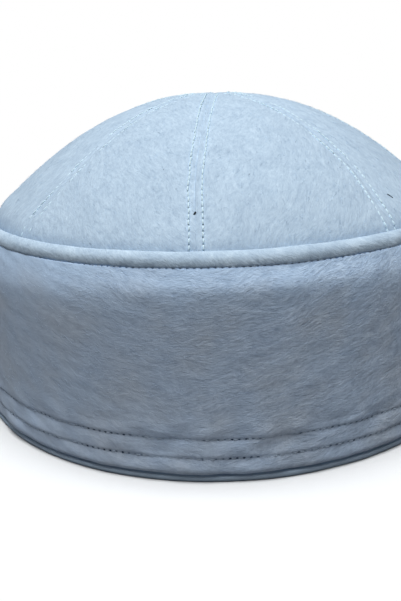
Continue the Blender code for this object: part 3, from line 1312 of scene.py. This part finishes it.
@dataclass
class SideBand:
    """The side band: from its edge under the piping over the shoulder down to the quilted hem."""

    oval: Oval
    felt: float = 2.2
    places: tuple[tuple[float, float], ...] = (
        (82.9, 63.2), (85.4, 63.3), (86.7, 63.5), (87.5, 64.0), (88.0, 64.32), (88.32, 64.25),
        (88.52, 63.9), (89.25, 62.4), (90.02, 60.6), (90.65, 58.9), (91.1, 57.2), (91.4, 55.5),
        (91.57, 53.8), (91.66, 51.3), (91.68, 47.0), (91.66, 40.0), (91.63, 33.0), (91.7, 26.0),
        (91.83, 21.0), (91.98, 17.0), (92.07, 15.0), (92.03, 14.4), (91.74, 13.85), (91.85, 13.1),
        (92.02, 12.1), (92.18, 11.0), (92.34, 9.7), (92.42, 8.9), (92.35, 8.4), (92.12, 7.95),
        (92.24, 7.3), (92.38, 6.4), (92.52, 5.4), (92.6, 4.5), (92.56, 3.7), (92.25, 3.1),
        (91.6, 2.75), (90.4, 2.8),
    )
    inner_places: tuple[tuple[float, float], ...] = ((90.2, 18.9), (90.4, 18.8), (90.4, 2.85))
    hem_rows: tuple[float, float] = (13.85, 7.95)
    ditch_half_width: float = 88.26
    ditch_stretch: float = 1.2
    fullness: Hump = Hump(0.88, 0.2, 0.55)
    leanness: float = 0.28
    shoulder: Hump = Hump(1.0, 11.6, 3.4)
    dimple: Hump = Hump(-0.045, 0.0, 0.8)
    ditch_dimple: Hump = Hump(-0.05, 0.0, 0.4)
    seam_valley: Hump = Hump(0.34, 0.0, 0.3)
    seam_furrow: Hump = Hump(0.13, 2.1, 0.5)
    seam_rows: float = 2.1
    seam_rows_start: float = 4.5
    wall_starts: tuple[float, float] = (1.5, 7.0)
    sweep: float = 0.30
    sweep_start: float = 20.0
    fibres: Nap = Nap(
        count=6000, points=5, slant=0.30, log_length=(1.05, 0.45), shortest=1.0, longest=7.0,
        curl=0.16, lift=(0.03, 0.5), power=2.0, root=0.07, foot=0.09, arch=0.7,
        radius=(0.020, 0.038),
    )
    rows: int = 90
    coarser: int = 6
    profile: Profile = field(init=False)
    inside: Profile = field(init=False)

    def __post_init__(self) -> None:
        """Draws both faces' profiles and the relief of the brushed felt."""
        self.profile = Profile(self.places, rounding=0.22)
        half_width, height, out, up = self.profile.at(np.arange(0.0, 44.0, 2.0))
        inner = list(zip(half_width - self.felt * out, height - self.felt * up))
        self.inside = Profile((*inner, *self.inner_places), rounding=0.3)
        ditch = float(np.interp(self.ditch_half_width, self.profile.line[:, 0][:200],
                                self.profile.along[:200]))
        self.row_places = (ditch, *(self.profile.where(row) for row in self.hem_rows))
        self.waves = Unevenness(51, 20.0, 11.0, 0.18)
        self.quilt = Unevenness(52, 2.6, 1.8, 0.15)
        self.nap = Unevenness(53, 2.3, 0.62, 0.020)
        self.combed = Unevenness(54, 3.4, 0.9, 0.030)

    @property
    def girth(self) -> float:
        """Length round the band's wall."""
        return 2.0 * math.pi * self.oval.radius

    def count(self, angle: Array, row: Array | int) -> Array:
        """Count of stitches, for each of the three rows from a start of its own."""
        return angle / (2.0 * math.pi) * STITCHES_ROUND + STAGGER * row + COUNT_AT_FRONT

    def nearest_row(self, along: Array) -> tuple[Array, Array]:
        """Number of the nearest row of stitches and the distance from it."""
        distance = np.abs(np.stack([along - place for place in self.row_places]))
        return np.argmin(distance, axis=0), np.min(distance, axis=0)

    def grain(self, angle: Array, along: Array) -> tuple[Array, Array]:
        """Place along and across the brushed nap.

        The nap runs down towards the front on both sides: across it, the length down the band is
        lowered by the sweep times the distance from the front, made smooth there.

        Args:
            angle: Angle round the band.
            along: Length down the band.

        Returns:
            Lengths along and across the nap.
        """
        arc = angle * self.oval.radius
        start = self.sweep_start
        return arc, along + self.sweep * (np.sqrt(np.square(arc) + start**2) - start)

    def outside(self, angle: Array, along: Array, lift: Array | float = 0.0) -> Array:
        """The band's outer face.

        On its profile the felt stands proud by: slow waves; a shoulder that is fuller over the face
        and leaner elsewhere; quilted swells between the hem's rows; a dimple at each needle hole;
        combed streaks; and the closing seam at the back, a narrow valley between two furrows.

        Args:
            angle: Angle from the front.
            along: Length along the profile from the top edge.
            lift: Distance off the felt.

        Returns:
            Points.
        """
        half_width, height, out, up = self.profile.at(along)
        arc = angle * self.oval.radius
        row, distance = self.nearest_row(along)
        hole = np.cos(2.0 * math.pi * self.count(angle, row))
        wall = smooth_step(*self.wall_starts, along)
        full = self.fullness.at(angle) - self.leanness
        hem = smooth_step(self.row_places[1] - 7.0, self.row_places[1] - 1.0, along)
        back = self.girth / 2.0 - np.abs(arc)
        proud = wall * (1.0 - 0.6 * hem) * self.waves.at(arc, along)
        proud = proud + full * self.shoulder.at(along)
        proud = proud + hem * self.quilt.at(arc, along)
        proud = proud + self.dimple.at(distance) * hole * wall
        proud = proud + self.ditch_dimple.at(distance) * np.maximum(hole, 0.0) * (1.0 - wall)
        grain = self.grain(angle, along)
        proud = proud + wall * self.nap.at(*grain)
        proud = proud + wall * self.combed.at(grain[0], grain[1] * 1.3)
        seam = wall * smooth_step(self.row_places[1] - 1.0, self.row_places[1] - 2.5, along)
        proud = proud - seam * (self.seam_valley.at(back) + self.seam_furrow.at(back)) + lift
        return self.oval.point(angle, half_width + out * proud, height + up * proud)

    def away(self, angle: Array, along: Array) -> Array:
        """Directions away from the band's outer face."""
        _, _, out, up = self.profile.at(along)
        return self.oval.outward(angle, out, up)

    def angles(self) -> Array:
        """Angles of the columns: three to a stitch, and twelve more beside the seam at the back."""
        even = round_angles(3 * STITCHES_ROUND)
        near = np.array([0.12, 0.24, 0.36, 0.48, 0.95, 1.15]) / self.oval.radius
        return np.sort(np.concatenate([even, near - math.pi, math.pi - near]))

    def maps(self, angle: Array, along: Array) -> dict[str, Array]:
        """The grain map, in mm, and the row map, in stitches and mm, with the first column again.

        Args:
            angle: Angles of the columns.
            along: Lengths of the rows.

        Returns:
            Both maps.
        """
        wide = np.append(angle, math.pi)[None, :]
        row, distance = self.nearest_row(along)
        grain = np.stack(np.broadcast_arrays(*self.grain(wide, along)), -1)
        # Below nought marks the ditch row, where the band's felt opens every hole at the front and
        # makes its furrow's painted shade fourteen times as strong.
        across = np.where(row == 0, -self.ditch_stretch * distance - 0.01, distance)
        rows = np.stack(np.broadcast_arrays(self.count(wide, row), across), -1)
        return {"grain": grain, "row": rows}

    def build_band(self, material: bpy.types.Material) -> bpy.types.Object:
        """The felt: a fine outer face, a coarse inner one, and its two edges.

        Args:
            material: Its felt.

        Returns:
            The band.
        """
        body = Body("felt_side_band")
        angle = self.angles()
        spots = {self.row_places[1]: 3.2, self.row_places[2]: 3.2, self.profile.length: 3.0,
                 self.row_places[0]: 2.5, 7.0: 3.0}
        along = self.profile.graded(self.rows, spots, 1.7)[:, None]
        outer = body.add_grid(self.outside(angle[None, :], along), self.maps(angle, along),
                              Weld.ROUND)
        few = angle[::self.coarser]
        inner_along = np.linspace(0.0, self.inside.length, self.rows // self.coarser + 1)[:, None]
        half_width, height = self.inside.at(inner_along)[:2]
        points = self.oval.point(few[None, :], half_width, height)
        maps = self.maps(few, inner_along)
        maps["row"][..., 1] = NO_ROW
        inner = body.add_grid(points, maps, Weld.ROUND, outward=False)
        body.add_edge(outer[-1], inner[-1])
        body.add_edge(np.roll(outer[0, ::-1], 1), np.roll(inner[0, ::-1], 1))
        return body.finish(material)

    def build_ditch_stitches(self, material: bpy.types.Material) -> bpy.types.Object:
        """The row in the ditch under the piping: short stitches with open holes between them.

        Args:
            material: Its thread.

        Returns:
            The row.
        """
        thread = StitchRow(length=1.15, radius=0.14, crest=-0.09, dive=0.2)
        row = self.row_paths(thread, 0, 61)
        return self.strands("ditch_stitches", thread, (row,), 61, material)

    def build_hem_stitches(self, material: bpy.types.Material) -> bpy.types.Object:
        """The two rows of the hem, sunk in their furrows.

        Args:
            material: Their thread.

        Returns:
            Both rows.
        """
        thread = StitchRow(length=1.6, radius=0.14, crest=-0.02, dive=0.22)
        upper = self.row_paths(thread, 1, 62)
        lower = self.row_paths(thread, 2, 63)
        return self.strands("hem_stitches", thread, (upper, lower), 64, material)

    def row_paths(self, thread: StitchRow, row: int, seed: int) -> tuple[Array, Array]:
        """Paths of the stitches of a row round the band.

        Args:
            thread: The stitches.
            row: Number of the row.
            seed: Seed of their differences.

        Returns:
            The paths, and the directions away from the felt along them.
        """
        rng = np.random.default_rng(seed)
        place = self.row_places[row]
        half_width = float(self.profile.at(np.array(place))[0])
        middle = np.arange(STITCHES_ROUND) + 0.5
        turn = (middle - STAGGER * row) / STITCHES_ROUND * 2.0 * math.pi - math.pi
        reach = 0.5 * thread.length * thread.reach()[None, :] / (half_width * self.oval.mean)
        angle = turn[:, None] + reach
        along = place + 0.06 * rng.standard_normal(len(middle))[:, None] + 0 * angle
        lift = thread.lift(rng.standard_normal(len(middle)))
        return self.outside(angle, along, lift), self.away(angle, along)

    @staticmethod
    def strands(
        name: str,
        thread: StitchRow,
        rows: tuple[tuple[Array, Array], ...],
        seed: int,
        material: bpy.types.Material,
    ) -> bpy.types.Object:
        """Stitches along paths as a piece, each with its own shade.

        Args:
            name: The piece's name.
            thread: The stitches.
            rows: Paths and directions of each row.
            seed: Seed of their shades.
            material: Their thread.

        Returns:
            The piece.
        """
        body = Body(name)
        path = np.concatenate([row[0] for row in rows])
        raised = np.concatenate([row[1] for row in rows])
        body.add_strands(path, raised, thread.girth(len(path)), thread.sides)
        shade = np.random.default_rng(seed).random(len(path))
        return body.finish(material, np.repeat(shade, path.shape[1] * thread.sides))

    def build_back_stitches(self, material: bpy.types.Material) -> bpy.types.Object:
        """The two rows beside the closing seam at the back.

        Args:
            material: Their thread.

        Returns:
            Both rows.
        """
        thread = StitchRow()
        low = self.row_places[1] - 2.5
        middle = np.arange(self.seam_rows_start, low, STITCH)
        along = middle[:, None] + 0.5 * thread.length * thread.reach()[None, :]
        rng = np.random.default_rng(65)
        rows = []
        for side in (-1.0, 1.0):
            wander = thread.wander * rng.standard_normal(len(middle))[:, None]
            angle = side * (math.pi - (self.seam_rows + wander + 0.0 * along) / self.oval.radius)
            lift = thread.lift(rng.standard_normal(len(middle)))
            rows.append((self.outside(angle, along, lift), self.away(angle, along)))
        return self.strands("back_seam_stitches", thread, tuple(rows), 66, material)

    def build_nap(self, material: bpy.types.Material) -> bpy.types.Object:
        """Loose fibres that lie along the brushed nap, each with its own slant, bend and lift.

        Args:
            material: What they look like.

        Returns:
            The fibres as one piece.
        """
        rng = np.random.default_rng(71)
        body = Body("side_band_nap")
        nap = self.fibres
        count, steps = nap.count, nap.steps()
        angle = rng.uniform(-math.pi, math.pi, count)[:, None]
        start = rng.uniform(3.2, self.profile.length - 2.0, count)[:, None]
        fall = -self.sweep * np.tanh(angle * self.oval.wall / self.sweep_start)
        slant = np.arctan(fall) + nap.slants(rng, count)
        length = nap.lengths(rng, count)
        curl = nap.curls(rng, count)
        arc = length * (steps * np.cos(slant) - curl * steps**2 * np.sin(slant))
        down = length * (steps * np.sin(slant) + curl * steps**2 * np.cos(slant))
        along = np.clip(start + down, 2.6, self.profile.length - 1.2)
        angle = angle + arc / self.oval.radius
        path = self.outside(angle, along, nap.lifts(rng, count))
        body.add_strands(path, self.away(angle, along), nap.radii(rng, count), nap.sides)
        return body.finish(material, np.repeat(rng.random(count), nap.points * nap.sides))

    def build(self, finishes: "Finishes") -> None:
        """Builds the band, its rows of stitches and its nap.

        Args:
            finishes: The materials.
        """
        piece = self.build_band(finishes.band)
        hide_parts("side_band")
        self.build_ditch_stitches(finishes.sunk_thread)
        self.build_hem_stitches(finishes.sunk_thread)
        self.build_back_stitches(finishes.thread)
        self.build_nap(finishes.low_fibre)


@dataclass
class InnerBand:
    """The inner band: the hem's second layer, whose lip shows under the side band's fold."""

    oval: Oval
    places: tuple[tuple[float, float], ...] = (
        (89.6, 18.6), (90.1, 18.1), (90.1, 14.0), (90.1, 8.0), (90.1, 2.6), (91.2, 2.4),
        (91.9, 2.0), (92.05, 1.2), (91.8, 0.4), (91.2, 0.0), (88.5, 0.0), (88.0, 0.5), (88.0, 4.0),
        (88.0, 8.0), (88.0, 14.3), (88.0, 18.1), (88.5, 18.6),
    )
    inner_side: float = 25.0
    row_heights: tuple[float, float] = (14.3, 8.0)
    furrow_depth: float = 0.25
    furrow_width: float = 0.7
    stitch_radius: float = 90.6
    columns: int = 568
    rows: int = 54
    profile: Profile = field(init=False)

    def __post_init__(self) -> None:
        """Draws the closed profile and the felt's relief."""
        self.profile = Profile(self.places, rounding=0.12, closed=True)
        self.waves = Unevenness(81, 3.0, 1.6, 0.05)

    def outside(self, angle: Array, along: Array, lift: Array | float = 0.0) -> Array:
        """The strip's surface: its profile with a little unevenness, and furrows under both rows.

        Args:
            angle: Angle from the front.
            along: Length round the profile, down the outside and up the inside.
            lift: Distance off the felt.

        Returns:
            Points.
        """
        half_width, height, out, up = self.profile.at(along)
        inner = smooth_step(self.inner_side, self.inner_side + 2.0, along)
        furrows = sum(bell(height - row, self.furrow_width) for row in self.row_heights)
        arc = angle * self.oval.radius
        proud = self.waves.at(arc, along) * smooth_step(0.0, 0.6, height)
        proud = proud - self.furrow_depth * inner * furrows + lift
        return self.oval.point(angle, half_width + out * proud, height + up * proud)

    def build(self, finishes: "Finishes") -> None:
        """Builds the strip, and the rows of stitches on its inner side.

        Args:
            finishes: The materials.
        """
        body = Body("felt_inner_band")
        angle = round_angles(self.columns)[None, :]
        lip = self.profile.where(2.0)
        along = self.profile.graded(self.rows, {lip: 3.5}, 2.0)[:-1, None]
        wide = np.append(angle[0], math.pi)[None, :] * self.oval.radius
        tall = np.append(along[:, 0], self.profile.length)[:, None]
        grain = np.stack(np.broadcast_arrays(wide, tall), -1)
        maps = {"grain": grain, "row": plain_row(grain.shape[:2])}
        body.add_grid(self.outside(angle, along), maps, Weld.RING)
        piece = body.finish(finishes.inner)
        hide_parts("inner_band")
        self.build_stitches(finishes.thread)

    def build_stitches(self, material: bpy.types.Material) -> bpy.types.Object:
        """The hem's two rows as they show on the inside.

        Args:
            material: Their thread.

        Returns:
            Both rows.
        """
        thread = StitchRow(length=1.55, radius=0.15)
        turn = 2.0 * math.pi * (np.arange(STITCHES_ROUND) + 0.5) / STITCHES_ROUND
        angle = turn[:, None] + 0.5 * thread.length * thread.reach()[None, :] / self.stitch_radius
        rows = []
        for seed, height in zip((82, 83), self.row_heights):
            rising = (self.profile.line[:, 1] >= height) & (self.profile.along > self.inner_side)
            along = self.profile.along[np.argmax(rising)] + 0.0 * angle
            lift = thread.lift(np.random.default_rng(seed).standard_normal(len(turn)))
            _, _, out, up = self.profile.at(along)
            rows.append((self.outside(angle, along, lift), self.oval.outward(angle, out, up)))
        return SideBand.strands("hem_stitches_inside", thread, tuple(rows), 84, material)


@dataclass
class Finishes:
    """Every material of the cap."""

    crown: bpy.types.Material
    piping: bpy.types.Material
    band: bpy.types.Material
    inner: bpy.types.Material
    thread: bpy.types.Material
    sunk_thread: bpy.types.Material
    fibre: bpy.types.Material
    low_fibre: bpy.types.Material
    lint: bpy.types.Material

    @classmethod
    def make(cls) -> "Finishes":
        """Makes the shared groups and all the materials."""
        grain = FeltGrain("felt_grain", {"Grain": (0.0, 0.0, 0.0), "Patches": 0.1, "Streaks": 0.1,
                                         "Flecks": 0.1, "Undyed": 0.1},
                          ("Shade", "Height", "Warmth"))
        holes = NeedleHoles("needle_holes", {"Row": (0.0, 0.0, 0.0), "Half Length": 0.3,
                                             "Half Width": 0.3, "Furrow Width": 0.7,
                                             "Open Middle": 0.0, "Open Reach": 0.0},
                            ("Hole", "Furrow"))
        groups = Groups(grain, holes)
        ice = (0.50, 0.635, 0.775)
        # The crown and the band paint shade in their needle holes; the band also along its rows'
        # furrows, most in the ditch under the piping at the front.
        crown = Felt("crown_felt", ice, 0.42, 0.58, 0.38, 0.22, 0.45, 0.0, hole_width=0.26)
        piping = Felt("piping_felt", ice, 0.85, 0.36, 0.50, 0.30, 0.0, 0.0)
        band = Felt("side_band_felt", (0.50, 0.62, 0.79), 0.40, 0.60, 0.24, 0.27, 0.85, 0.03,
                    hole_length=0.50, hole_width=0.30, rougher=0.88, undyed=0.6,
                    open_middle=COUNT_AT_FRONT + 5.0, open_reach=17.5,
                    # The shoulder's tint is painted light: lighter and bluer where the overhead light
                    # falls.
                    shoulder=(0.49, 0.645, 0.85))
        inner = Felt("inner_band_felt", (0.48, 0.61, 0.75), 0.10, 0.12, 0.08, 0.12, 0.0, 0.0)
        return cls(
            crown=crown.material(groups),
            piping=piping.material(groups),
            band=band.material(groups),
            inner=inner.material(groups),
            thread=Strand("white_thread", (0.73, 0.905, 1.0), 0.06, 0.012, 0.7, 0.4).material(),
            sunk_thread=Strand("sunk_thread", (0.50, 0.60, 0.72), 0.2, 0.05, 0.7).material(),
            fibre=Strand("loose_fibre", (0.50, 0.64, 0.78), 0.40, 0.0, 0.85).material(),
            low_fibre=Strand("combed_fibre", (0.42, 0.53, 0.67), 0.45, 0.0, 0.85).material(),
            lint=Strand("dark_lint", (0.09, 0.11, 0.15), 1.7, 0.02, 0.9).material(),
        )


@dataclass
class Studio:
    """A pale floor, one large soft light overhead, a little light from all round, and the camera."""

    turn: float = 5.82
    pitch: float = 16.97
    roll: float = -2.22
    distance: float = 299.0
    side: float = -8.08
    camera_height: float = 117.72
    lens: float = 46.31
    light_power: float = 67.5
    light_size: float = 1.7
    light_place: tuple[float, float, float] = (-0.03, -0.38, 2.32)
    light_colour: tuple[float, float, float] = (0.985, 0.995, 1.0)
    ambient: tuple[float, float, float] = (0.030, 0.030, 0.032)
    floor_radius: float = 1.6
    floor_sides: int = 96
    floor_white: tuple[float, float] = (0.10, 0.26)
    floor_colour: tuple[float, float, float] = (0.93, 0.935, 0.94)
    floor_bounce: tuple[float, float, float] = (0.255, 0.255, 0.26)

    def build(self) -> None:
        """Builds the floor, the light, the surroundings and the camera."""
        self.build_floor()
        self.build_light()
        self.build_surroundings()
        self.build_camera()
        bpy.context.scene.view_settings.view_transform = "Standard"

    def build_floor(self) -> None:
        """A wide round sheet whose white grows even away from the cap."""
        mesh = bpy.data.meshes.new("floor")
        angle = 2.0 * math.pi * np.arange(self.floor_sides) / self.floor_sides
        rim = self.floor_radius * np.stack([np.cos(angle), np.sin(angle), 0.0 * angle], axis=1)
        mesh.from_pydata(rim.tolist(), [], [list(range(self.floor_sides))])
        floor = bpy.data.objects.new("floor", mesh)
        bpy.context.scene.collection.objects.link(floor)
        material, g = start_material("pale_floor")
        g.tree.nodes.remove(g.tree.nodes["Principled BSDF"])
        seen = g.add("LightPath").outputs["Is Camera Ray"]
        shown = g.add("BsdfDiffuse", {"Color": (*self.floor_colour, 1.0)})
        even = g.add("Emission", {"Color": (1.0, 1.0, 1.0, 1.0), "Strength": 1.0})
        place = g.add("TexCoord").outputs["Object"]
        away = g.add("VectorMath", {0: place}, operation="LENGTH").outputs["Value"]
        start, full = self.floor_white
        share = g.add("MapRange", {0: away, 1: start, 2: full, 3: 0.0, 4: 1.0},
                      interpolation_type="SMOOTHSTEP").outputs[0]
        white = g.add("MixShader", {0: share, 1: shown.outputs[0], 2: even.outputs[0]})
        bounced = g.add("BsdfDiffuse", {"Color": (*self.floor_bounce, 1.0)})
        mixed = g.add("MixShader", {0: seen, 1: bounced.outputs[0], 2: white.outputs[0]})
        under = g.add("NewGeometry").outputs["Backfacing"]
        clear = g.add("BsdfTransparent")
        last = g.add("MixShader", {0: under, 1: mixed.outputs[0], 2: clear.outputs[0]})
        g.feed(g.tree.nodes["Material Output"].inputs["Surface"], last.outputs[0])
        mesh.materials.append(material)

    def build_light(self) -> None:
        """A square soft light over the cap, a little towards the front, pointed at the crown."""
        light = bpy.data.lights.new("overhead", "AREA")
        light.shape = "SQUARE"
        light.size = self.light_size
        light.energy = self.light_power
        light.color = self.light_colour
        lamp = bpy.data.objects.new("overhead", light)
        lamp.location = self.light_place
        aim = Vector((0.0, 0.0, 0.08)) - Vector(self.light_place)
        lamp.rotation_euler = aim.to_track_quat("-Z", "Y").to_euler()
        bpy.context.scene.collection.objects.link(lamp)

    def build_surroundings(self) -> None:
        """White behind everything, and a faint even light on the cap from all round."""
        world = bpy.data.worlds.new("surroundings")
        world.use_nodes = True
        bpy.context.scene.world = world
        g = Graph(world.node_tree)
        seen = g.add("LightPath").outputs["Is Camera Ray"]
        faint = g.tree.nodes["Background"]
        faint.inputs["Color"].default_value = (*self.ambient, 1.0)
        white = g.add("Background", {"Color": (1.0, 1.0, 1.0, 1.0)})
        mixed = g.add("MixShader", {0: seen, 1: faint.outputs[0], 2: white.outputs[0]})
        g.feed(g.tree.nodes["World Output"].inputs["Surface"], mixed.outputs[0])

    def build_camera(self) -> None:
        """The camera: level turn, then pitch down, then a small roll."""
        data = bpy.data.cameras.new("camera")
        data.sensor_fit = "AUTO"
        data.sensor_width = 36.0
        data.lens = self.lens
        data.clip_start = 0.01
        turn, pitch, roll = (math.radians(v) for v in (self.turn, self.pitch, self.roll))
        right = Vector((math.cos(turn), math.sin(turn), 0.0))
        ahead = Vector((-math.sin(turn), math.cos(turn), 0.0))
        up = math.sin(pitch) * ahead + math.cos(pitch) * Vector((0.0, 0.0, 1.0))
        x_axis = math.cos(roll) * right + math.sin(roll) * up
        y_axis = math.cos(roll) * up - math.sin(roll) * right
        z_axis = x_axis.cross(y_axis)
        place = self.side * right - self.distance * ahead + Vector((0.0, 0.0, self.camera_height))
        matrix = Matrix((x_axis, y_axis, z_axis)).transposed().to_4x4()
        matrix.translation = place * MM
        camera = bpy.data.objects.new("camera", data)
        camera.matrix_world = matrix
        bpy.context.scene.collection.objects.link(camera)
        bpy.context.scene.camera = camera


def main(frame: Frame) -> None:
    """Builds the cap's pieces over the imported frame, then the studio round it.
    """
    logging.basicConfig(level=logging.INFO, format="%(name)s: %(message)s")
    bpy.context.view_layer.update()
    log.info("frame with %d nodes", len(frame["nodes"]))
    oval = Oval()
    finishes = Finishes.make()
    Studio().build()
    Crown(oval, Seams()).build(finishes)
    Piping(oval).build(finishes)
    SideBand(oval).build(finishes)
    InnerBand(oval).build(finishes)


if __name__ == "__main__":
    main(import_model())
